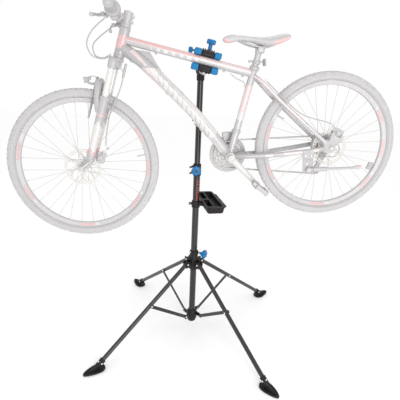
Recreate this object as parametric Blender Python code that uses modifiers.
"""A mountain bicycle held by its top tube in a folding four-legged repair stand.

Metres, +Z up, -X towards the front wheel. The origin is on the floor, below the middle of the whole object.
"""

from math import atan2, cos, pi, radians, sin

import bmesh
import bpy
from mathutils import Matrix, Vector

# --- driving dimensions -------------------------------------------------------------------------
GAP = 0.0003  # left between solids that touch
POST_X = -0.023  # the post stands a little in front of the bicycle's middle
BIKE_Y = -0.235  # the bicycle's plane, held clear of the post by the clamp arm

LEG_AZIMUTHS = (33.9, 123.9, 213.9, 303.9)  # degrees from +X
LEG_RADIUS = 0.0115
LEG_WALL = 0.0015
LEG_PIVOT = (0.050, 0.437)  # distance from the post, height
LEG_FOOT = (0.600, 0.027)
BRACE_PIVOT = (0.056, 0.100)
BRACE_AT = 0.30  # from the leg's pivot to its brace, along the leg
BRACE_SIDE = 0.0150  # the brace runs beside the leg
BRACE_THICK = 0.0040
BRACE_WIDE = 0.019

BASE_TUBE_R = 0.0180
BASE_TUBE_WALL = 0.0016
BASE_TUBE_TOP = 0.985
MAST_R = 0.0155
MAST_WALL = 0.0015
MAST_BOTTOM = 0.560
MAST_TOP = 1.4605
ARM_Z = 1.476
ARM_R = 0.0140
HEAD_KNOB_Z = 1.569
LUG_TOP = 1.578  # the post head's lug, which holds the knob's boss
TRAY_Z = 0.800

TOP_TUBE_SLOPE = radians(11.3)
CLAMP_TUBE_Z = 1.510  # the top tube's axis above the post
TOP_TUBE_R = 0.0178
JAW_GAP = 0.0022  # between the top tube and each jaw, filled by the pad's liner
SCREW_R = 0.0050
SCREW_U = 0.006  # the clamp screw stands this far behind the post's axis
SCREW_Y = 0.0270  # and this far past the bicycle's plane, clear of its tube

WHEEL_R = 0.335
TYRE_HALF = 0.025
RIM_TOP_R = 0.2940
RIM_LOW_R = 0.2725
RIM_HALF = 0.0125
FRONT_AXLE = (-0.556, 1.046)
REAR_AXLE = (0.556, 1.161)
BOTTOM_BRACKET = (0.1035, 1.101)
HEAD_BOTTOM = (-0.394, 1.509)
HEAD_ANGLE = radians(15.0)  # from the vertical
HEAD_TUBE_LENGTH = 0.121
HEAD_TUBE_R = 0.0225
SEAT_TUBE_TOP = (0.1870, 1.4795)
SEAT_TUBE_R = 0.0160
SEAT_POST_R = 0.0135
CRANK = 0.170
CRANK_ANGLE = radians(-43.0)  # the left crank points back and down
BAR = (-0.390, 1.666)
BAR_HALF = 0.300
FORK_HALF = 0.0580  # from the wheel's plane to a fork leg
PEDAL_OUT = 0.1330  # from the bicycle's plane to a pedal's middle

RUBBER = (0.62, 0.61, 0.61, 1)
FRAME_GREY = (0.56, 0.55, 0.55, 1)
FRAME_WHITE = (0.83, 0.81, 0.80, 1)
FORK_GREY = (0.64, 0.62, 0.63, 1)
BRIGHT_METAL = (0.80, 0.78, 0.78, 1)
STAND_BLACK = (0.030, 0.024, 0.025, 1)
PLASTIC_BLACK = (0.012, 0.011, 0.012, 1)
KNOB_BLUE = (0.008, 0.160, 0.420, 1)
PAD_BLUE = (0.020, 0.230, 0.520, 1)

X = Vector((1, 0, 0))
Y = Vector((0, 1, 0))
Z = Vector((0, 0, 1))


# --- helpers ------------------------------------------------------------------------------------
def clear_scene():
    for obj in list(bpy.data.objects):
        bpy.data.objects.remove(obj, do_unlink=True)


def collection(name):
    made = bpy.data.collections.new(name)
    bpy.context.scene.collection.children.link(made)
    return made


def stand(x, y, z):
    """A point given from the post's foot."""
    return Vector((POST_X + x, y, z))


def bike(x, z, y=0.0):
    """A point given in the bicycle's plane, y to its right (drive) side."""
    return Vector((x, BIKE_Y + y, z))


def turned_to(axis):
    return axis.to_track_quat("Z", "Y").to_matrix().to_4x4()


def mesh_object(name, bm, matrix=None):
    mesh = bpy.data.meshes.new(name)
    if matrix is not None:
        bm.transform(matrix)
    bmesh.ops.recalc_face_normals(bm, faces=bm.faces)
    if bm.calc_volume(signed=True) < 0:
        bmesh.ops.reverse_faces(bm, faces=bm.faces)
    bm.to_mesh(mesh)
    bm.free()
    obj = bpy.data.objects.new(name, mesh)
    PARTS.objects.link(obj)
    return obj


def baked(obj):
    """The object with its modifiers applied and its transform in its mesh."""
    bpy.context.view_layer.update()
    graph = bpy.context.evaluated_depsgraph_get()
    evaluated = obj.evaluated_get(graph)
    mesh = bpy.data.meshes.new_from_object(evaluated)
    bm = bmesh.new()
    bm.from_mesh(mesh)
    bmesh.ops.remove_doubles(bm, verts=bm.verts, dist=1e-6)
    name = obj.name
    matrix = obj.matrix_world.copy()
    bpy.data.objects.remove(obj, do_unlink=True)
    bpy.data.meshes.remove(mesh)
    return mesh_object(name, bm, matrix)


def rod(a, b, radius, sides=12, end_radius=None, name="rod"):
    """A cylinder, or a cone, from a to b."""
    bm = bmesh.new()
    far = radius if end_radius is None else end_radius
    length = (b - a).length
    bmesh.ops.create_cone(bm, cap_ends=True, segments=sides, radius1=radius, radius2=far, depth=length)
    return mesh_object(name, bm, Matrix.Translation((a + b) / 2) @ turned_to(b - a))


def block(centre, size, turn=None, bevel=0.0, segments=1, name="block"):
    """A box, its edges rounded by bevel."""
    bm = bmesh.new()
    bmesh.ops.create_cube(bm, size=1.0)
    bm.transform(Matrix.Diagonal((*size, 1.0)))
    if bevel:
        bmesh.ops.bevel(bm, geom=bm.edges, offset=bevel, segments=segments, affect="EDGES")
    return mesh_object(name, bm, Matrix.Translation(centre) @ (turn or Matrix.Identity(4)))


def lathe(profile, centre, axis, steps=24, closed=False, name="lathe"):
    """A turned shape: profile is (radius, height) down its outer side, about axis through centre."""
    mesh = bpy.data.meshes.new(name)
    points = [(r, 0.0, h) for r, h in profile]
    edges = [(i, i + 1) for i in range(len(points) - 1)]
    if closed:
        edges.append((len(points) - 1, 0))
    mesh.from_pydata(points, edges, [])
    obj = bpy.data.objects.new(name, mesh)
    PARTS.objects.link(obj)
    screw = obj.modifiers.new("Turn", "SCREW")
    screw.steps = steps
    screw.render_steps = steps
    screw.use_merge_vertices = True
    screw.merge_threshold = 0.00001
    obj.matrix_world = Matrix.Translation(centre) @ turned_to(axis)
    return baked(obj)


def ring(centre, axis, inner, outer, length, steps=24):
    half = length / 2
    profile = [(outer, half), (outer, -half), (inner, -half), (inner, half)]
    return lathe(profile, centre, axis, steps, closed=True)


def smooth_path(points, per_span):
    """Points on a Catmull-Rom curve through the given ones."""
    padded = [points[0] * 2 - points[1], *points, points[-1] * 2 - points[-2]]
    path = []
    for i in range(1, len(padded) - 2):
        p0, p1, p2, p3 = padded[i - 1 : i + 3]
        for k in range(per_span):
            t = k / per_span
            a = 2 * p1
            b = (p2 - p0) * t
            c = (2 * p0 - 5 * p1 + 4 * p2 - p3) * t * t
            d = (3 * p1 - p0 - 3 * p2 + p3) * t * t * t
            path.append((a + b + c + d) / 2)
    return [*path, points[-1]]


def tube(points, radius, radii=None, sides=2, cyclic=False, name="tube"):
    """A round tube along straight runs between points, as a mesh. radii scales the radius at each point."""
    curve = bpy.data.curves.new(name, "CURVE")
    curve.dimensions = "3D"
    curve.bevel_depth = radius
    curve.bevel_resolution = sides
    curve.use_fill_caps = not cyclic
    spline = curve.splines.new("POLY")
    spline.points.add(len(points) - 1)
    for i, point in enumerate(points):
        spline.points[i].co = (*point, 1.0)
        spline.points[i].radius = radii[i] if radii else 1.0
    spline.use_cyclic_u = cyclic
    obj = bpy.data.objects.new(name, curve)
    PARTS.objects.link(obj)
    return baked(obj)


def outline(points, centre, turn, thick, name="plate"):
    """A flat plate of the outline (u, v), thick along its own third axis."""
    curve = bpy.data.curves.new(name, "CURVE")
    curve.dimensions = "2D"
    curve.fill_mode = "BOTH"
    curve.extrude = thick / 2
    spline = curve.splines.new("POLY")
    spline.points.add(len(points) - 1)
    for i, (u, v) in enumerate(points):
        spline.points[i].co = (u, v, 0.0, 1.0)
    spline.use_cyclic_u = True
    obj = bpy.data.objects.new(name, curve)
    PARTS.objects.link(obj)
    obj.matrix_world = Matrix.Translation(centre) @ turn
    return baked(obj)


def together(pieces):
    """Several meshes in one object, still as separate bodies, for one Boolean."""
    bm = bmesh.new()
    for piece in pieces:
        bm.from_mesh(piece.data)
        bpy.data.objects.remove(piece, do_unlink=True)
    return mesh_object("group", bm)


def boolean(obj, other, operation):
    modifier = obj.modifiers.new("Boolean", "BOOLEAN")
    modifier.operation = operation
    modifier.solver = "EXACT"
    modifier.object = other
    CUTTERS.objects.link(other)
    PARTS.objects.unlink(other)
    result = baked(obj)
    bpy.data.objects.remove(other, do_unlink=True)
    return result


def fused(*pieces):
    obj = pieces[0]
    for piece in pieces[1:]:
        obj = boolean(obj, piece, "UNION")
    return obj


def cut(obj, *cutters):
    for cutter in cutters:
        obj = boolean(obj, cutter, "DIFFERENCE")
    return obj


def drilled(obj, a, b, radius, sides=16):
    """A hole from a to b that clears a rod of this radius by GAP."""
    return cut(obj, rod(a, b, (radius + GAP) / cos(pi / sides), sides))


def pivot(name, at):
    empty = bpy.data.objects.new(name, None)
    empty.location = at
    empty.empty_display_size = 0.03
    PARTS.objects.link(empty)
    return empty


def node(name, obj, colour, roughness=0.5, metallic=0.0, parent=None):
    """Names a finished solid, gives it its own material and hangs it on its joint."""
    obj.name = name
    obj.data.name = name
    material = bpy.data.materials.new(name)
    material.use_nodes = True
    shader = material.node_tree.nodes["Principled BSDF"]
    shader.inputs["Base Color"].default_value = colour
    shader.inputs["Roughness"].default_value = roughness
    shader.inputs["Metallic"].default_value = metallic
    obj.data.materials.append(material)
    obj.data.shade_smooth()
    obj.data.set_sharp_from_angle(angle=radians(35))
    if parent is not None:
        obj.parent = parent
        obj.matrix_parent_inverse = Matrix.Translation(-parent.location)
    return obj


def mirrored(point):
    """The point on the other side of the bicycle's plane."""
    return Vector((point.x, 2 * BIKE_Y - point.y, point.z))


# --- stand: tripod ------------------------------------------------------------------------------
def radial(azimuth):
    return Vector((cos(radians(azimuth)), sin(radians(azimuth)), 0))


def leg_point(azimuth, r, z, side=0.0):
    """A point r from the post's axis in a leg's plane, and side to the left of that plane."""
    out = radial(azimuth)
    return stand(0, 0, z) + out * r + Z.cross(out) * side


def star_knob(centre, axis, radius, thick, lobes=6, depth=0.0022):
    """A fluted hand knob."""
    points = []
    for i in range(lobes * 6):
        angle = 2 * pi * i / (lobes * 6)
        r = radius - depth + depth * cos(lobes * angle)
        points.append((r * cos(angle), r * sin(angle)))
    return outline(points, centre, turned_to(axis), thick)


def make_base():
    steps = 24
    inner = BASE_TUBE_R - BASE_TUBE_WALL
    bottom = 0.066
    middle = stand(0, 0, (bottom + BASE_TUBE_TOP) / 2)
    base = ring(middle, Z, inner, BASE_TUBE_R, BASE_TUBE_TOP - bottom, steps)
    node("base_tube", base, STAND_BLACK, 0.35)

    outer = [(0.0, 0.126), (0.0230, 0.126), (0.0300, 0.112), (0.0300, 0.078), (0.0240, 0.058), (0.0, 0.052)]
    hub = lathe(outer, stand(0, 0, 0), Z, 16)
    for azimuth in LEG_AZIMUTHS:
        plate_side = BRACE_SIDE + BRACE_THICK / 2 + 0.0005 + 0.0018
        at = leg_point(azimuth, 0.043, BRACE_PIVOT[1], plate_side)
        turn = Matrix.Rotation(radians(azimuth), 4, "Z")
        plate = block(at, (0.042, 0.0036, 0.026), turn)
        r, z = BRACE_PIVOT
        pin = rod(leg_point(azimuth, r, z, 0.0124), leg_point(azimuth, r, z, 0.0220), 0.0032, 6)
        rivet = rod(leg_point(azimuth, r, z, 0.0205), leg_point(azimuth, r, z, 0.0235), 0.0055, 8)
        hub = fused(hub, plate, pin, rivet)
    hub = drilled(hub, stand(0, 0, 0.0655), stand(0, 0, 0.14), BASE_TUBE_R)
    node("bottom_hub", hub, PLASTIC_BLACK, 0.45)


def make_collar():
    parent = pivot("collar_slide", stand(0, 0, LEG_PIVOT[1]))
    outer = [(0.0, 0.511), (0.0215, 0.511), (0.0235, 0.506), (0.0235, 0.466), (0.0265, 0.460)]
    outer += [(0.0265, 0.400), (0.0245, 0.396), (0.0, 0.396)]
    collar = lathe(outer, stand(0, 0, 0), Z, 16)
    r, z = LEG_PIVOT
    for azimuth in LEG_AZIMUTHS:
        turn = Matrix.Rotation(radians(azimuth), 4, "Z")
        for side in (-1, 1):
            at = leg_point(azimuth, 0.041, z - 0.002, side * 0.0138)
            collar = fused(collar, block(at, (0.046, 0.0036, 0.036), turn))
            start = leg_point(azimuth, r, z, side * 0.0150)
            collar = fused(collar, rod(start, leg_point(azimuth, r, z, side * 0.0178), 0.0055, 8))
        ends = (leg_point(azimuth, r, z, -0.0160), leg_point(azimuth, r, z, 0.0160))
        collar = fused(collar, rod(*ends, 0.0032, 6))
    boss = (stand(0, 0, 0.502) + radial(-35) * 0.015, stand(0, 0, 0.502) + radial(-35) * 0.0300)
    collar = fused(collar, rod(*boss, 0.0085, 10))
    collar = drilled(collar, stand(0, 0, 0.38), stand(0, 0, 0.53), BASE_TUBE_R)
    node("leg_collar", collar, PLASTIC_BLACK, 0.4, parent=parent)

    turn_axis = pivot("collar_knob_turn", stand(0, 0, 0.502) + radial(-35) * 0.066)
    knob = star_knob(stand(0, 0, 0.502) + radial(-35) * 0.067, radial(-35), 0.0240, 0.020)
    stem_foot = stand(0, 0, 0.502)
    stem = rod(stem_foot + radial(-35) * 0.0304, stem_foot + radial(-35) * 0.060, 0.0060, 10)
    node("collar_knob", fused(knob, stem), KNOB_BLUE, 0.3, parent=turn_axis)


def make_leg(number, azimuth):
    r, z = LEG_PIVOT
    parent = pivot(f"leg_{number}_hinge", leg_point(azimuth, r, z))
    top = leg_point(azimuth, r, z)
    foot = leg_point(azimuth, *LEG_FOOT)
    along = (foot - top).normalized()
    start = top - along * 0.013
    leg = ring((start + foot) / 2, along, LEG_RADIUS - LEG_WALL, LEG_RADIUS, (foot - start).length, 12)
    leg = drilled(leg, leg_point(azimuth, r, z, -0.02), leg_point(azimuth, r, z, 0.02), 0.0032, 8)
    node(f"leg_{number}", leg, STAND_BLACK, 0.35, parent=parent)

    # The shoe is a pointed leaf on the floor, with a socket for the leg's end.
    leaf = []
    for i in range(20):
        angle = 2 * pi * i / 20
        point_out = 0.058 + 0.010 * cos(angle)
        leaf.append((point_out * cos(angle), 0.030 * sin(angle) * (1 - 0.25 * cos(angle))))
    flat = Matrix.Rotation(radians(azimuth), 4, "Z")
    sole = outline(leaf, leg_point(azimuth, 0.615, 0.0055), flat, 0.011)
    socket = rod(foot - along * 0.034, foot + along * 0.012, 0.0150, 12)
    toe = rod(leg_point(azimuth, 0.640, 0.009), leg_point(azimuth, 0.640, 0.0155), 0.0060, 10)
    shoe = fused(sole, socket, toe)
    shoe = drilled(shoe, foot - along * 0.05, foot + along * GAP, LEG_RADIUS)
    below = block(leg_point(azimuth, 0.62, -0.05), (0.3, 0.3, 0.1), flat)
    node(f"foot_{number}", cut(shoe, below), PLASTIC_BLACK, 0.5, parent=parent)


def make_brace(number, azimuth):
    r, z = BRACE_PIVOT
    top = leg_point(azimuth, *LEG_PIVOT)
    along = (leg_point(azimuth, *LEG_FOOT) - top).normalized()
    side = Z.cross(radial(azimuth))
    near = leg_point(azimuth, r, z, BRACE_SIDE)
    far = top + along * BRACE_AT + side * BRACE_SIDE
    parent = pivot(f"brace_{number}_hinge", near)
    length = (far - near).length
    half = BRACE_WIDE / 2
    ends = [(length + half * sin(radians(a)), half * cos(radians(a))) for a in range(0, 181, 45)]
    ends += [(-half * sin(radians(a)), -half * cos(radians(a))) for a in range(0, 181, 45)]
    direction = (far - near).normalized()
    turn = Matrix((direction, side.cross(direction), side)).transposed().to_4x4()
    bar = outline(ends, near, turn, BRACE_THICK)
    bar = drilled(bar, near - side * 0.01, near + side * 0.01, 0.0032, 8)
    rivet = rod(far - side * (BRACE_THICK / 2 + 0.0006), far + side * 0.0042, 0.0055, 8)
    node(f"brace_{number}", fused(bar, rivet), STAND_BLACK, 0.35, parent=parent)


# --- stand: mast, tray and head -----------------------------------------------------------------
def make_mast():
    parent = pivot("mast_slide", stand(0, 0, BASE_TUBE_TOP))
    middle = stand(0, 0, (MAST_BOTTOM + MAST_TOP) / 2)
    mast = ring(middle, Z, MAST_R - MAST_WALL, MAST_R, MAST_TOP - MAST_BOTTOM)
    mast = fused(mast, ring(stand(0, 0, 1.238), Z, MAST_R - MAST_WALL / 2, 0.0190, 0.060, 16))
    mast = fused(mast, block(stand(-0.024, 0, 1.238), (0.020, 0.010, 0.012), None, 0.002))
    node("upper_tube", mast, STAND_BLACK, 0.3, 0.3, parent=parent)

    # The clamp on top of the base tube: a split sleeve with two ears and a knob.
    outer = [(0.0, 1.012), (0.0190, 1.012), (0.0215, 1.006), (0.0215, 0.952), (0.0200, 0.947), (0.0, 0.947)]
    sleeve = lathe(outer, stand(0, 0, 0), Z, 16)
    for z in (0.964, 0.996):
        tilt = Matrix.Rotation(radians(-20), 4, "Y")
        ear = block(stand(-0.029, -0.006, z), (0.026, 0.012, 0.010), tilt, 0.002)
        sleeve = fused(sleeve, ear)
    boss = rod(stand(-0.008, -0.010, 0.982), stand(-0.008, -0.0270, 0.982), 0.0090, 12)
    sleeve = fused(sleeve, boss)
    sleeve = drilled(sleeve, stand(0, 0, 0.93), stand(0, 0, BASE_TUBE_TOP + GAP), BASE_TUBE_R)
    sleeve = drilled(sleeve, stand(0, 0, 0.98), stand(0, 0, 1.03), MAST_R)
    node("height_clamp", sleeve, PLASTIC_BLACK, 0.45)

    centre = stand(-0.008, -0.0425, 0.982)
    knob_pivot = pivot("height_knob_turn", centre)
    knob = star_knob(centre, Y, 0.0265, 0.016)
    knob = fused(knob, rod(centre + Y * 0.002, centre + Y * 0.0151, 0.0065, 10))
    knob = cut(knob, rod(centre - Y * 0.012, centre - Y * 0.003, 0.0060, 12))
    node("height_knob", knob, KNOB_BLUE, 0.3, parent=knob_pivot)

    cap = rod(stand(0, 0, MAST_TOP - 0.030), stand(0, 0, MAST_TOP + 0.003), 0.0195, 16)
    cross = rod(stand(0, 0.045, ARM_Z), stand(0, -0.060, ARM_Z), 0.0215, 16)
    lug_low = ARM_Z + 0.007
    lug_size = (0.020, 0.018, LUG_TOP - lug_low)
    lug = block(stand(0, 0.022, (LUG_TOP + lug_low) / 2), lug_size, None, 0.004)
    boss = rod(stand(0, 0.022, HEAD_KNOB_Z), stand(-0.030, 0.022, HEAD_KNOB_Z + 0.002), 0.0085, 10)
    head = fused(cross, cap, lug, boss)
    head = drilled(head, stand(0, 0, MAST_TOP - 0.05), stand(0, 0, MAST_TOP + GAP), MAST_R)
    head = drilled(head, stand(0, 0.035, ARM_Z), stand(0, -0.08, ARM_Z), ARM_R)
    node("post_head", head, PLASTIC_BLACK, 0.4, parent=parent)

    centre = stand(-0.052, 0.022, HEAD_KNOB_Z + 0.0035)
    knob_pivot = pivot("head_knob_turn", centre)
    axis = Vector((-1, 0, 0.066)).normalized()
    knob = star_knob(centre, axis, 0.0150, 0.020, 5, 0.0014)
    knob = fused(knob, rod(centre, centre - axis * 0.0215, 0.0050, 8))
    node("head_knob", knob, KNOB_BLUE, 0.3, parent=knob_pivot)


def make_tray():
    parent = pivot("tray_swivel", stand(0, 0, TRAY_Z))
    turn = Matrix.Rotation(radians(7), 4, "Z")
    centre = stand(0.0745, -0.004, TRAY_Z)
    body = block(centre, (0.100, 0.300, 0.036), turn, 0.0085, 2)
    wells = ((0.021, 0.0, 0.046, 0.270), (-0.027, 0.068, 0.034, 0.120), (-0.027, -0.068, 0.034, 0.120))
    for x, y, wide, long in wells:
        hollow = centre + turn @ Vector((x, y, 0.006))
        body = cut(body, block(hollow, (wide, long, 0.036), turn, 0.004))
    rim = centre + turn @ Vector((0.0530, 0, 0.0060))
    body = fused(body, block(rim, (0.026, 0.230, 0.006), turn))
    sleeve = rod(stand(0, 0, 0.769), stand(0, 0, 0.807), 0.0225, 20)
    web = block(stand(0.026, 0, 0.789), (0.028, 0.030, 0.020), None, 0.002)
    ear = block(stand(-0.028, 0.0, 0.790), (0.022, 0.010, 0.014), None, 0.002)
    body = fused(body, sleeve, web, ear)
    body = drilled(body, stand(0, 0, 0.75), stand(0, 0, 0.83), BASE_TUBE_R)
    node("tool_tray", body, PLASTIC_BLACK, 0.5, parent=parent)


def clamp_at(u, w, y=0.0):
    """A point u along the clamped top tube (backwards) and w above its axis."""
    along = Vector((cos(TOP_TUBE_SLOPE), 0, -sin(TOP_TUBE_SLOPE)))
    up = Vector((sin(TOP_TUBE_SLOPE), 0, cos(TOP_TUBE_SLOPE)))
    return Vector((POST_X, BIKE_Y + y, CLAMP_TUBE_Z)) + along * u + up * w


def jaw(side):
    """A ribbed jaw above (side 1) or below (side -1) the tube, reaching back round the clamp screw."""
    turn = Matrix.Rotation(TOP_TUBE_SLOPE, 4, "Y")
    low = TOP_TUBE_R + JAW_GAP
    back = (SCREW_Y + 0.012 - 0.023) / 2
    body = block(clamp_at(0, side * (low + 0.0065), back), (0.0545, SCREW_Y + 0.035, 0.013), turn, 0.002)
    rib_tall = 0.026
    for i in range(6):
        u = -0.0235 + 0.0094 * i
        rib = block(clamp_at(u, side * (low + rib_tall / 2 + 0.002)), (0.0045, 0.040, rib_tall), turn)
        body = fused(body, rib)
    core = block(clamp_at(0, side * (low + 0.013), 0.004), (0.0500, 0.050, 0.018), turn)
    return fused(body, core)


def jaw_pad(side):
    """A rubber pad: two end blocks with a thin liner between them, against the tube."""
    turn = Matrix.Rotation(TOP_TUBE_SLOPE, 4, "Y")
    pad = block(clamp_at(0, side * (TOP_TUBE_R + 0.0011)), (0.062, 0.036, 0.0014), turn)
    for end in (-1, 1):
        at = clamp_at(end * 0.0435, side * (TOP_TUBE_R + 0.0136))
        pad = fused(pad, block(at, (0.0300, 0.050, 0.0260), turn, 0.002))
    return pad


def make_clamp():
    head = pivot("head_turn", stand(0, 0, ARM_Z))
    arm_end = Vector((POST_X, BIKE_Y + 0.0150, ARM_Z))
    arm = rod(stand(0, 0.030, ARM_Z), stand(0, -0.175, ARM_Z), ARM_R, 16)
    arm = fused(arm, rod(stand(0, -0.165, ARM_Z), arm_end + Vector((0.004, 0, -0.006)), 0.0135, 16, 0.0110))
    arm = fused(arm, jaw(-1))
    arm = drilled(arm, clamp_at(SCREW_U, -0.06, SCREW_Y), clamp_at(SCREW_U, 0, SCREW_Y), SCREW_R, 12)
    node("clamp_arm", arm, STAND_BLACK, 0.4, parent=head)
    node("lower_pad", jaw_pad(-1), PAD_BLUE, 0.45, parent=head)

    slide = pivot("jaw_slide", clamp_at(0, TOP_TUBE_R))
    upper = drilled(jaw(1), clamp_at(SCREW_U, 0, SCREW_Y), clamp_at(SCREW_U, 0.07, SCREW_Y), SCREW_R, 12)
    node("upper_jaw", upper, STAND_BLACK, 0.4, parent=slide)
    node("upper_pad", jaw_pad(1), PAD_BLUE, 0.45, parent=slide)

    turn = pivot("clamp_screw_turn", clamp_at(SCREW_U, 0, SCREW_Y))
    axis = clamp_at(0, 1) - clamp_at(0, 0)
    knob = star_knob(clamp_at(SCREW_U, 0.0830, SCREW_Y), axis, 0.0215, 0.0190)
    neck = rod(clamp_at(SCREW_U, 0.0484, SCREW_Y), clamp_at(SCREW_U, 0.078, SCREW_Y), 0.0085, 12)
    screw = rod(clamp_at(SCREW_U, -0.044, SCREW_Y), clamp_at(SCREW_U, 0.078, SCREW_Y), SCREW_R, 12)
    node("clamp_screw", fused(knob, neck, screw), KNOB_BLUE, 0.3, parent=turn)


# --- bicycle: frame -----------------------------------------------------------------------------
def head_axis():
    return Vector((sin(HEAD_ANGLE), 0, cos(HEAD_ANGLE)))


def steer(s, n=0.0, y=0.0):
    """A point s up the steering axis from the head tube's bottom, n in front of it."""
    forward = Vector((-cos(HEAD_ANGLE), 0, sin(HEAD_ANGLE)))
    return bike(*HEAD_BOTTOM, y) + head_axis() * s + forward * n


def seat_axis():
    return (bike(*SEAT_TUBE_TOP) - bike(*BOTTOM_BRACKET)).normalized()


def make_frame():
    frame = rod(steer(0), steer(HEAD_TUBE_LENGTH), HEAD_TUBE_R, 16)
    slope = -TOP_TUBE_SLOPE
    top_from = Vector((POST_X, BIKE_Y, CLAMP_TUBE_Z))
    along = Vector((cos(slope), 0, sin(slope)))
    frame = fused(frame, rod(top_from - along * 0.350, top_from + along * 0.200, TOP_TUBE_R, 16))
    down_points = [steer(0.040, -0.004), bike(-0.333, 1.520), bike(-0.268, 1.474), bike(-0.050, 1.275)]
    down_points.append(bike(*BOTTOM_BRACKET))
    path = smooth_path(down_points, 3)
    radii = [1.0 + 0.12 * sin(pi * i / (len(path) - 1)) for i in range(len(path))]
    frame = fused(frame, tube(path, 0.0235, radii))
    upright = Matrix.Rotation(radians(90), 4, "X")
    web = [(-0.365, 1.545), (-0.265, 1.536), (-0.215, 1.462), (-0.290, 1.470)]
    gusset = outline(web, Vector((0, BIKE_Y, 0)), upright, 0.014)
    frame = fused(frame, gusset)
    seat_top = bike(*SEAT_TUBE_TOP) + seat_axis() * 0.022
    frame = fused(frame, rod(bike(*BOTTOM_BRACKET), seat_top, SEAT_TUBE_R, 14))
    frame = fused(frame, rod(seat_top - seat_axis() * 0.018, seat_top - seat_axis() * 0.004, 0.0205, 14))
    shell = rod(bike(*BOTTOM_BRACKET, -0.034), bike(*BOTTOM_BRACKET, 0.034), 0.0225, 16)
    frame = fused(frame, shell)
    for side in (-1, 1):
        chain_stay = [bike(0.112, 1.101, side * 0.018), bike(0.165, 1.106, side * 0.0290)]
        chain_stay += [bike(0.235, 1.112, side * 0.0385), bike(0.300, 1.119, side * 0.0475)]
        chain_stay.append(bike(0.440, 1.141, side * 0.0670))
        chain_stay.append(bike(0.527, 1.158, side * 0.0705))
        seat_stay = [bike(0.183, 1.462, side * 0.008), bike(0.215, 1.440, side * 0.030)]
        seat_stay += [bike(0.300, 1.366, side * 0.0460), bike(0.430, 1.262, side * 0.0640)]
        seat_stay.append(bike(0.530, 1.183, side * 0.0705))
        stays = [tube(smooth_path(chain_stay, 2), 0.0098), tube(smooth_path(seat_stay, 2), 0.0088)]
        frame = fused(frame, *stays)
        plate = [(0.508, 1.150), (0.540, 1.138), (0.572, 1.142)]
        plate += [(0.576, 1.168), (0.552, 1.190), (0.516, 1.202)]
        dropout = outline(plate, Vector((0, BIKE_Y + side * 0.0705, 0)), upright, 0.006)
        frame = fused(frame, dropout)
        frame = fused(frame, rod(bike(*REAR_AXLE, side * 0.072), bike(*REAR_AXLE, side * 0.0800), 0.0085, 12))
    bridge = rod(bike(0.229, 1.428, -0.040), bike(0.229, 1.428, 0.040), 0.0065, 10)
    yoke = rod(bike(0.192, 1.1085, -0.034), bike(0.192, 1.1085, 0.034), 0.0090, 10)
    plate = [(0.526, 1.186), (0.556, 1.168), (0.614, 1.222), (0.590, 1.246)]
    mount = outline(plate, Vector((0, BIKE_Y - 0.0735, 0)), upright, 0.005)
    plate = [(0.425, 1.149), (0.478, 1.151), (0.480, 1.046), (0.436, 1.046)]
    bracket = outline(plate, Vector((0, BIKE_Y - 0.0760, 0)), upright, 0.006)
    frame = fused(frame, bridge, yoke, mount, bracket)
    wall = 0.0020
    top_bore = rod(top_from - along * 0.340, top_from + along * 0.195, TOP_TUBE_R - wall, 12)
    down_bore = tube(path[1:], 0.0235 - wall, radii[1:])
    seat_bore = seat_top - seat_axis() * 0.395
    frame = cut(frame, top_bore, down_bore, rod(steer(-0.05), steer(0.20), 0.0165, 14))
    frame = drilled(frame, seat_bore, seat_top + seat_axis() * 0.05, SEAT_POST_R)
    frame = cut(frame, rod(bike(*BOTTOM_BRACKET, -0.06), bike(*BOTTOM_BRACKET, 0.06), 0.0105, 16))
    node("bike_frame", frame, FRAME_GREY, 0.35)


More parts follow.
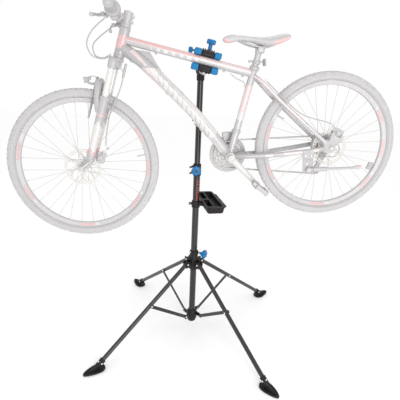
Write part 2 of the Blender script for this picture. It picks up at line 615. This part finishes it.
def make_seat():
    parent = pivot("seat_slide", bike(*SEAT_TUBE_TOP))
    top = bike(*SEAT_TUBE_TOP) + seat_axis() * 0.080
    post = rod(bike(*SEAT_TUBE_TOP) - seat_axis() * 0.190, top, SEAT_POST_R, 14)
    head = block(top + Vector((0.004, 0, 0.004)), (0.038, 0.026, 0.018), None, 0.004)
    band_at = bike(0.1965, 1.5145)
    band = rod(band_at - seat_axis() * 0.006, band_at + seat_axis() * 0.006, 0.0175, 16)
    holder = block(bike(0.1965, 1.5185), (0.066, 0.008, 0.008), None, 0.0015)
    lens = block(bike(0.2330, 1.5165), (0.008, 0.044, 0.030), Matrix.Rotation(radians(-8), 4, "Y"), 0.002)
    node("seat_post", fused(post, head, band, holder, lens), PLASTIC_BLACK, 0.4, parent=parent)

    # Saddle sections from nose to tail: distance along, top, bottom and half width.
    stations = [(0.052, 1.600, 1.588, 0.010), (0.072, 1.613, 1.584, 0.020), (0.120, 1.617, 1.590, 0.024)]
    stations += [(0.175, 1.614, 1.586, 0.034), (0.230, 1.614, 1.580, 0.058), (0.285, 1.625, 1.586, 0.078)]
    stations += [(0.322, 1.633, 1.600, 0.066), (0.333, 1.628, 1.612, 0.045)]
    bm = bmesh.new()
    rings = []
    for x, top_z, low_z, half in stations:
        middle = (top_z + low_z) / 2
        tall = (top_z - low_z) / 2
        loop = []
        for k in range(8):
            angle = 2 * pi * k / 8
            droop = 0.012 * (half / 0.078) * abs(cos(angle)) ** 2
            loop.append(bm.verts.new(bike(x, middle + tall * sin(angle) - droop, half * cos(angle))))
        rings.append(loop)
    for a, b in zip(rings, rings[1:]):
        for k in range(8):
            bm.faces.new((a[k], a[(k + 1) % 8], b[(k + 1) % 8], b[k]))
    bm.faces.new(rings[0])
    bm.faces.new(rings[-1][::-1])
    cover = mesh_object("cover", bm)
    subdivision = cover.modifiers.new("Soft", "SUBSURF")
    subdivision.levels = 1
    subdivision.render_levels = 1
    saddle = baked(cover)
    for side in (-1, 1):
        rail = [bike(0.110, 1.602, side * 0.010), bike(0.150, 1.584, side * 0.018)]
        rail += [bike(0.190, 1.5775, side * 0.022), bike(0.240, 1.5775, side * 0.022)]
        rail += [bike(0.272, 1.586, side * 0.030), bike(0.290, 1.606, side * 0.036)]
        saddle = fused(saddle, tube(rail, 0.0035))
    node("saddle", saddle, (0.64, 0.63, 0.63, 1), 0.5, parent=parent)


# --- bicycle: fork, bar and controls ------------------------------------------------------------
def make_fork():
    parent = pivot("steering", steer(0))
    steerer = rod(steer(-0.040), steer(HEAD_TUBE_LENGTH + 0.058), 0.0143, 14)
    crown = block(steer(-0.027, 0.004), (0.040, 2 * FORK_HALF + 0.030, 0.034),
                  Matrix.Rotation(HEAD_ANGLE, 4, "Y"), 0.008)
    upper = fused(steerer, crown, rod(steer(-0.014), steer(-0.0005), 0.0230, 14))
    for side in (-1, 1):
        y = side * FORK_HALF
        upper = fused(upper, rod(steer(-0.046, 0.010, y), steer(-0.008, 0.010, y), 0.0185, 12))
        upper = fused(upper, rod(steer(-0.300, 0.010, y), steer(-0.030, 0.010, y), 0.0140, 12))
    node("fork_upper", upper, BRIGHT_METAL, 0.2, 0.8, parent=parent)

    slide = pivot("fork_travel", steer(-0.172, 0.010))
    legs = []
    for side in (-1, 1):
        y = side * FORK_HALF
        leg = rod(steer(-0.465, 0.012, y), steer(-0.172, 0.010, y), 0.0165, 12, 0.0190)
        tip = rod(steer(-0.492, 0.036, side * 0.0592), steer(-0.440, 0.014, side * 0.0592), 0.0085, 10)
        boss = rod(steer(-0.489, 0.0366, side * 0.0500), steer(-0.489, 0.0366, side * 0.0690), 0.0120, 12)
        legs += [leg, tip, boss]
    arch = [steer(-0.235, 0.022, -FORK_HALF), steer(-0.185, 0.040, -0.052), steer(-0.122, 0.050, -0.034)]
    arch += [steer(-0.112, 0.050, 0), mirrored(steer(-0.122, 0.050, -0.034))]
    arch += [mirrored(steer(-0.185, 0.040, -0.052)), steer(-0.235, 0.022, FORK_HALF)]
    lowers = fused(tube(smooth_path(arch, 2), 0.0115), *legs)
    arm = [steer(-0.117, 0.050), steer(-0.132, 0.072), steer(-0.136, 0.093), steer(-0.127, 0.108)]
    lowers = fused(lowers, tube(smooth_path(arm, 2), 0.0060))
    lamp = steer(-0.125, 0.106)
    lowers = fused(lowers, rod(lamp + X * 0.009 + Z * 0.002, lamp - X * 0.012, 0.0095, 12, 0.0130))
    for side in (-1, 1):
        y = side * FORK_HALF
        lowers = drilled(lowers, steer(-0.372, 0.010, y), steer(-0.15, 0.010, y), 0.0140, 12)
    node("fork_lowers", lowers, FORK_GREY, 0.4, parent=slide)

    rotor_y = -0.0395
    raked = Matrix.Rotation(HEAD_ANGLE, 4, "Y")
    caliper = block(steer(-0.425, -0.026, rotor_y), (0.030, 0.026, 0.052), raked, 0.004)
    caliper = cut(caliper, block(steer(-0.425, -0.010, rotor_y), (0.050, 0.0045, 0.080), raked))
    node("front_caliper", caliper, FORK_GREY, 0.4, 0.5, parent=slide)


def make_stem_and_bar():
    bar_at = bike(*BAR)
    clamp_centre = steer(HEAD_TUBE_LENGTH + 0.036)
    post = rod(steer(HEAD_TUBE_LENGTH + 0.012), steer(HEAD_TUBE_LENGTH + 0.062), 0.0190, 14)
    spacer = rod(steer(HEAD_TUBE_LENGTH + 0.0005), steer(HEAD_TUBE_LENGTH + 0.013), 0.0210, 14)
    arm = rod(clamp_centre, bar_at, 0.0155, 14)
    grip = rod(bar_at - Y * 0.024, bar_at + Y * 0.024, 0.0185, 14)
    stem = fused(post, spacer, arm, grip)
    for s in (0.026, 0.048):
        bolt = (steer(HEAD_TUBE_LENGTH + s, -0.016, -0.010), steer(HEAD_TUBE_LENGTH + s, -0.024, -0.010))
        stem = fused(stem, rod(*bolt, 0.0050, 8))
    stem = drilled(stem, steer(HEAD_TUBE_LENGTH - 0.02), steer(HEAD_TUBE_LENGTH + 0.0585), 0.0143)
    stem = drilled(stem, bar_at - Y * 0.04, bar_at + Y * 0.04, 0.0125)
    node("stem", stem, FRAME_GREY, 0.4)

    bar = tube([bar_at - Y * BAR_HALF, bar_at - Y * 0.06, bar_at + Y * 0.06, bar_at + Y * BAR_HALF], 0.0125,
               [0.89, 1.0, 1.0, 0.89], 4)
    node("handlebar", bar, FRAME_GREY, 0.35)


def make_controls(name, side):
    """Grip, twist shifter with its brake perch, and brake lever. Side is -1 on the left."""
    bar_at = bike(*BAR)
    out = Y * side
    grip_end = bar_at + out * (BAR_HALF + 0.0040)
    profile = [(0.0, 0.0), (0.0155, 0.0), (0.0170, -0.003), (0.0170, -0.100), (0.0, -0.100)]
    grip = lathe(profile, grip_end, out, 16)
    grip = drilled(grip, grip_end - out * 0.12, grip_end - out * 0.0037, 0.0125)
    node(f"grip_{name}", grip, RUBBER, 0.8)

    shell = [(0.0, 0.203), (0.0235, 0.203), (0.0280, 0.196), (0.0280, 0.170), (0.0200, 0.150), (0.0, 0.150)]
    drum = lathe(shell, bar_at, out, 16)
    pod = block(bar_at + out * 0.168 + Vector((0.004, 0, -0.026)), (0.026, 0.040, 0.022), None, 0.004)
    perch = rod(bar_at + out * 0.118, bar_at + out * 0.156, 0.0170, 14)
    link = block(bar_at + out * 0.140 + Vector((-0.018, 0, -0.010)), (0.034, 0.012, 0.014),
                 Matrix.Rotation(radians(-30), 4, "Y"), 0.002)
    body = fused(drum, pod, perch, link)
    body = drilled(body, bar_at + out * 0.10, bar_at + out * 0.23, 0.0125)
    node(f"controls_{name}", body, FRAME_GREY, 0.45)

    pin = bar_at + out * 0.150 + Vector((-0.040, 0, -0.016))
    parent = pivot(f"lever_{name}_hinge", pin)
    blade = [pin, pin + Vector((-0.014, 0, -0.006)) + out * 0.020]
    blade.append(pin + Vector((-0.020, 0, -0.010)) + out * 0.060)
    blade.append(pin + Vector((-0.026, 0, -0.016)) + out * 0.100)
    lever = tube(smooth_path(blade, 3), 0.0060)
    lever = fused(lever, rod(pin - Z * 0.007, pin + Z * 0.007, 0.0075, 10))
    node(f"brake_lever_{name}", lever, FRAME_GREY, 0.4, 0.3, parent=parent)


# --- bicycle: wheels and drive ------------------------------------------------------------------
def make_wheel(name, axle, hub_half, spokes, rotor_y, parent):
    centre = bike(*axle)
    tyre = []
    for i in range(7):
        angle = radians(-40 + 260 * i / 6)
        tyre.append((WHEEL_R - TYRE_HALF + TYRE_HALF * sin(angle), TYRE_HALF * cos(angle)))
    wall = 0.0035
    for i in range(6, -1, -1):
        angle = radians(-36 + 252 * i / 6)
        inner = TYRE_HALF - wall
        tyre.append((WHEEL_R - TYRE_HALF + inner * sin(angle), inner * cos(angle)))
    tyre = [(max(r, RIM_TOP_R + 0.0006), h) for r, h in tyre]
    node(f"{name}_tyre", lathe(tyre[::-1], centre, Y, 32, closed=True), RUBBER, 0.85, parent=parent)

    top = RIM_TOP_R
    low = RIM_LOW_R
    skin = 0.0018
    rim = [(top, RIM_HALF), (low, 0.0070), (low, -0.0070), (top, -RIM_HALF)]
    rim += [(top, skin - RIM_HALF), (low + 0.002, -0.0055), (low + 0.002, 0.0055), (top, RIM_HALF - skin)]
    wheel = lathe(rim[::-1], centre, Y, 32, closed=True)
    flange = hub_half - 0.022 if name == "front" else 0.028
    hub = [(0.0, hub_half), (0.0085, hub_half), (0.0105, flange + 0.006), (0.0215, flange + 0.0035)]
    hub += [(0.0215, flange), (0.0130, flange - 0.006)]
    hub += [(r, -h) for r, h in hub[::-1]]
    wires = []
    for i in range(spokes):
        angle = 2 * pi * i / spokes
        side = 1 if i % 2 else -1
        lean = angle + radians(28 if i % 4 < 2 else -28)
        start = centre + Vector((cos(lean) * 0.019, side * (flange + 0.0016), sin(lean) * 0.019))
        reach = RIM_LOW_R + 0.0012
        end = centre + Vector((cos(angle) * reach, side * 0.002, sin(angle) * reach))
        wires.append(rod(start, end, 0.0011, 4))
    wheel = fused(lathe(hub, centre, Y, 16), *wires, wheel)
    node(f"{name}_wheel", wheel, BRIGHT_METAL, 0.35, 0.6, parent=parent)

    at = centre + Y * rotor_y
    rotor = ring(at, Y, 0.066, 0.080, 0.0018, 24)
    rotor = fused(rotor, ring(at, Y, 0.0125, 0.028, 0.0018, 12))
    arms = []
    for i in range(6):
        angle = 2 * pi * i / 6 + 0.3
        a = at + Vector((cos(angle) * 0.024, 0, sin(angle) * 0.024))
        b = at + Vector((cos(angle + 0.35) * 0.070, 0, sin(angle + 0.35) * 0.070))
        direction = b - a
        turn = Matrix.Rotation(-atan2(direction.z, direction.x), 4, "Y")
        arms.append(block((a + b) / 2, (direction.length, 0.0014, 0.006), turn))
    node(f"{name}_rotor", fused(rotor, together(arms)), BRIGHT_METAL, 0.3, 0.8, parent=parent)


def make_drive():
    bb = BOTTOM_BRACKET
    turn = pivot("crank_turn", bike(*bb))
    rings = [(0.0, 0.0560), (0.0200, 0.0560), (0.0300, 0.0515), (0.0860, 0.0515), (0.0860, 0.0492)]
    rings += [(0.0550, 0.0480), (0.0550, 0.0470), (0.0612, 0.0470), (0.0612, 0.0410), (0.0440, 0.0400)]
    rings += [(0.0440, 0.0370), (0.0180, 0.0370), (0.0180, 0.0350), (0.0, 0.0350)]
    chainset = lathe(rings, bike(*bb), Y, 28)
    axle = rod(bike(*bb, -0.0560), bike(*bb, 0.050), 0.0085, 16)
    tip = bike(bb[0] - cos(CRANK_ANGLE) * CRANK, bb[1] - sin(CRANK_ANGLE) * CRANK, 0.0720)
    arm = rod(bike(*bb, 0.0620), tip, 0.0150, 12, 0.0110)
    chainset = fused(chainset, axle, rod(bike(*bb, 0.050), bike(*bb, 0.0760), 0.0165, 16), arm)
    chainset = drilled(chainset, tip - Y * 0.03, tip + Y * 0.03, 0.0055, 12)
    node("crankset", chainset, BRIGHT_METAL, 0.35, 0.6, parent=turn)

    tip = bike(bb[0] + cos(CRANK_ANGLE) * CRANK, bb[1] + sin(CRANK_ANGLE) * CRANK, -0.0720)
    arm = rod(bike(*bb, -0.0640), tip, 0.0150, 12, 0.0110)
    arm = fused(arm, rod(bike(*bb, -0.0480), bike(*bb, -0.0760), 0.0165, 16))
    arm = drilled(arm, tip - Y * 0.03, tip + Y * 0.03, 0.0055, 12)
    arm = drilled(arm, bike(*bb, -0.0563), bike(*bb, -0.03), 0.0085)
    node("left_crank", arm, BRIGHT_METAL, 0.35, 0.6, parent=turn)

    for name, side in (("left", -1), ("right", 1)):
        at = bike(bb[0] - side * cos(CRANK_ANGLE) * CRANK, bb[1] - side * sin(CRANK_ANGLE) * CRANK)
        middle = at + Y * side * PEDAL_OUT
        spin = pivot(f"pedal_{name}_spin", middle)
        tilt = Matrix.Rotation(radians(35), 4, "Y")
        body = block(middle, (0.062, 0.092, 0.024), tilt, 0.0035)
        for x in (-0.019, 0.019):
            body = cut(body, block(middle + tilt @ Vector((x, 0, 0)), (0.014, 0.064, 0.05), tilt))
        spindle = rod(at + Y * side * 0.0640, at + Y * side * 0.0980, 0.0055, 12)
        node(f"pedal_{name}", fused(body, spindle), RUBBER, 0.6, parent=spin)

    wheel_turn = pivot("cassette_turn", bike(*REAR_AXLE))
    steps = [(0.0, 0.0600), (0.0240, 0.0600), (0.0260, 0.0495), (0.0360, 0.0495), (0.0360, 0.0400)]
    steps += [(0.0550, 0.0385), (0.0550, 0.0345), (0.0300, 0.0345), (0.0, 0.0345)]
    cogs = lathe(steps, bike(*REAR_AXLE), Y, 24)
    cogs = drilled(cogs, bike(*REAR_AXLE, 0.02), bike(*REAR_AXLE, 0.07), 0.0110)
    node("cassette", cogs, BRIGHT_METAL, 0.35, 0.8, parent=wheel_turn)


def make_chain_and_gears():
    # The chain's path: round the middle ring and the cog, then an S through the two pulleys.
    y = 0.0438
    path = []

    def arc(centre, radius, start, stop, count):
        for i in range(count + 1):
            angle = radians(start + (stop - start) * i / count)
            path.append(bike(centre[0] + radius * cos(angle), centre[1] + radius * sin(angle), y))

    guide = (0.5640, 1.0930)
    tension = (0.5450, 1.0350)
    arc(BOTTOM_BRACKET, 0.0665, 266, 94, 12)
    arc(REAR_AXLE, 0.0410, 86, -42, 9)
    arc(guide, 0.0205, 150, 200, 3)
    arc(tension, 0.0205, 12, -92, 6)
    chain = tube(path, 0.0033, cyclic=True, sides=1)
    node("chain", chain, BRIGHT_METAL, 0.4, 0.8)

    tilt = Matrix.Rotation(radians(-20), 4, "Y")
    body = block(bike(0.585, 1.118, 0.0600), (0.030, 0.016, 0.046), tilt, 0.004)
    cage = rod(bike(*guide, 0.0520), bike(*tension, 0.0520), 0.0050, 8)
    axle_1 = rod(bike(*guide, 0.0385), bike(*guide, 0.0620), 0.0042, 8)
    axle_2 = rod(bike(*tension, 0.0385), bike(*tension, 0.0545), 0.0042, 8)
    wheels = [rod(bike(*at, 0.0400), bike(*at, 0.0476), 0.0160, 16) for at in (guide, tension)]
    gears = fused(body, cage, axle_1, axle_2, *wheels)
    reach = rod(bike(0.578, 1.112, 0.0600), bike(*guide, 0.0600), 0.0060, 8)
    gears = fused(gears, reach)
    hanger = rod(bike(0.5850, 1.1260, 0.0600), bike(0.5850, 1.1260, 0.0670), 0.0080, 10)
    node("rear_derailleur", fused(gears, hanger), FRAME_GREY, 0.4, 0.5)

    tilt = Matrix.Rotation(radians(40), 4, "Y")
    caliper = block(bike(0.590, 1.222, -0.0520), (0.046, 0.030, 0.034), tilt, 0.004)
    slot = bike(0.590, 1.222, -0.0520) + tilt @ Vector((0, 0, -0.0175))
    caliper = cut(caliper, block(slot, (0.080, 0.0045, 0.060), tilt))
    node("rear_caliper", caliper, FRAME_GREY, 0.4, 0.5)

    hinge = bike(0.4570, 1.0620, -0.0900)
    parent = pivot("kickstand_hinge", hinge)
    line = [hinge, bike(0.480, 1.066, -0.092), bike(0.60, 1.073, -0.094), bike(0.702, 1.082, -0.095)]
    leg = tube(smooth_path(line, 2), 0.0062)
    shoe = rod(bike(0.672, 1.0785, -0.0945), bike(0.704, 1.0825, -0.095), 0.0088, 10)
    leg = fused(leg, rod(hinge - Y * 0.008, hinge + Y * 0.008, 0.0120, 12), shoe)
    node("kickstand_leg", leg, FORK_GREY, 0.4, 0.4, parent=parent)


def make_cables():
    bar_at = bike(*BAR)
    start = bar_at + Vector((-0.034, -0.118, -0.020))
    loop = [start, bike(-0.482, 1.602, -0.085), bike(-0.512, 1.556, -0.052), bike(-0.497, 1.512, -0.040)]
    loop += [bike(-0.455, 1.500, -0.036), bike(-0.420, 1.5130, -0.036)]
    loops = tube(smooth_path(loop, 4), 0.0026, sides=1)
    start = bar_at + Vector((-0.030, 0.112, -0.020))
    loop = [start, bike(-0.470, 1.598, 0.060), bike(-0.496, 1.554, 0.0), bike(-0.484, 1.512, -0.028)]
    loop += [bike(-0.450, 1.5045, -0.034), bike(-0.420, 1.5190, -0.036)]
    loops = fused(loops, tube(smooth_path(loop, 4), 0.0026, sides=1))
    clip = block(bike(-0.424, 1.5145, -0.036), (0.010, 0.007, 0.013), None, 0.001)
    node("control_cables", fused(loops, clip), RUBBER, 0.5)

    brake = [bike(-0.370, 1.4400, -0.041), bike(-0.388, 1.380, -0.045), bike(-0.428, 1.290, -0.034)]
    brake += [bike(-0.448, 1.200, -0.034), bike(-0.454, 1.1390, -0.034)]
    node("front_brake_cable", tube(smooth_path(brake, 4), 0.0026, sides=1), RUBBER, 0.5)

    run = [bike(0.3400, 1.3530, -0.0660), bike(0.420, 1.293, -0.0770), bike(0.500, 1.250, -0.0800)]
    run += [bike(0.545, 1.238, -0.072), bike(0.5640, 1.2330, -0.058)]
    node("rear_brake_cable", tube(smooth_path(run, 3), 0.0026, sides=1), RUBBER, 0.5)


# --- assembly -----------------------------------------------------------------------------------
def main():
    make_base()
    make_collar()
    for number, azimuth in enumerate(LEG_AZIMUTHS, 1):
        make_leg(number, azimuth)
        make_brace(number, azimuth)
    make_mast()
    make_tray()
    make_clamp()
    make_frame()
    make_seat()
    make_fork()
    make_stem_and_bar()
    make_controls("left", -1)
    make_controls("right", 1)
    front = pivot("front_wheel_turn", bike(*FRONT_AXLE))
    rear = pivot("rear_wheel_turn", bike(*REAR_AXLE))
    make_wheel("front", FRONT_AXLE, 0.0495, 12, -0.0395, front)
    make_wheel("rear", REAR_AXLE, 0.0665, 12, -0.0520, rear)
    make_drive()
    make_chain_and_gears()
    make_cables()


clear_scene()
PARTS = collection("bicycle_on_stand")
CUTTERS = collection("cutters")
CUTTERS.hide_render = True
main()
